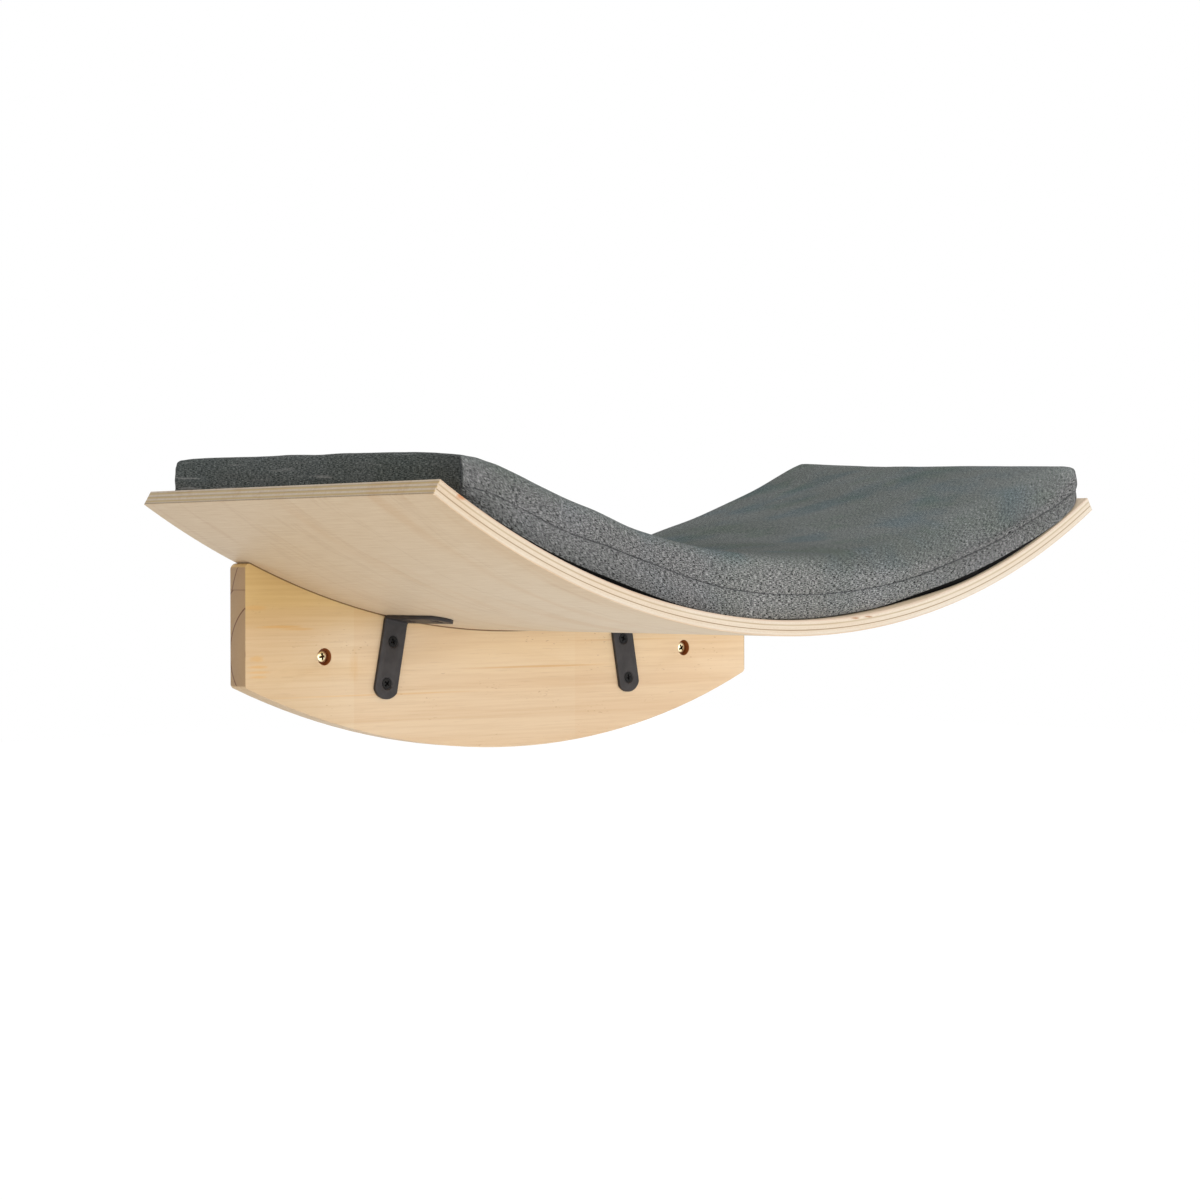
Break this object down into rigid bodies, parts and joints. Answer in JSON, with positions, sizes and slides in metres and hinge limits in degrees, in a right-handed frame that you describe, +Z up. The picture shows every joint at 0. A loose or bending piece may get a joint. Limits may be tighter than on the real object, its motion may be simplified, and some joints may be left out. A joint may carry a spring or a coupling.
{
  "type": "wall-mounted cat shelf",
  "caption": "Bent plywood cat shelf on a pine wall board with steel angle brackets, and a lift-off cushion held by hook and loop tapes.",
  "frame": {"origin": "on the wall, midway between the two wall screws", "axes": "+X along the wall to the right as seen from the room, +Y into the wall, +Z up"},
  "size_m": [0.5, 0.2854, 0.1725],
  "materials": {
    "plywood": "sanded birch plywood, bare",
    "pine": "planed and clear finished",
    "black_steel": "matt black coated",
    "black_screw": "black phosphated",
    "yellow_zinc": "yellow zinc plated",
    "cover_cloth": "woven grey marl",
    "foam": "open-cell foam",
    "hook_tape": "nylon hooks",
    "loop_tape": "nylon loops",
    "zip_tape": "polyester tape and coil",
    "zip_metal": "nickel coloured"
  },
  "bodies": {
    "shelf": {"shelf_board": "plywood", "wall_board": "pine", "bracket_left": "black_steel", "bracket_right": "black_steel", "board_screw_left_upper": "black_screw", "board_screw_left_lower": "black_screw", "board_screw_right_upper": "black_screw", "board_screw_right_lower": "black_screw", "shelf_screw_left_inner": "black_screw", "shelf_screw_left_outer": "black_screw", "shelf_screw_right_inner": "black_screw", "shelf_screw_right_outer": "black_screw", "wall_screw_left": "yellow_zinc", "wall_screw_right": "yellow_zinc", "hook_strip_left": "hook_tape", "hook_strip_right": "hook_tape"},
    "cushion": {"cushion_cover": "cover_cloth", "cushion_foam": "foam", "loop_strip_left": "loop_tape", "loop_strip_right": "loop_tape", "zip_chain": "zip_tape"},
    "slider": {"zip_slider": "zip_metal"},
    "pull": {"zip_pull": "zip_metal"}
  },
  "joints": [
    {"name": "cushion_lift", "type": "slide", "parent": "shelf", "child": "cushion", "axis": [0, 0, 1], "range_m": [0, 0.12]},
    {"name": "zip_slide", "type": "hinge", "parent": "cushion", "child": "slider", "pos_m": [0, 0, 0.488], "axis": [0, 1, 0], "range_deg": [0, 48]},
    {"name": "zip_pull_turn", "type": "hinge", "parent": "slider", "child": "pull", "pos_m": [0.18334, -0.0055, 0.07649], "axis": [0.407, 0, -0.9134], "range_deg": [0, 150]}
  ]
}
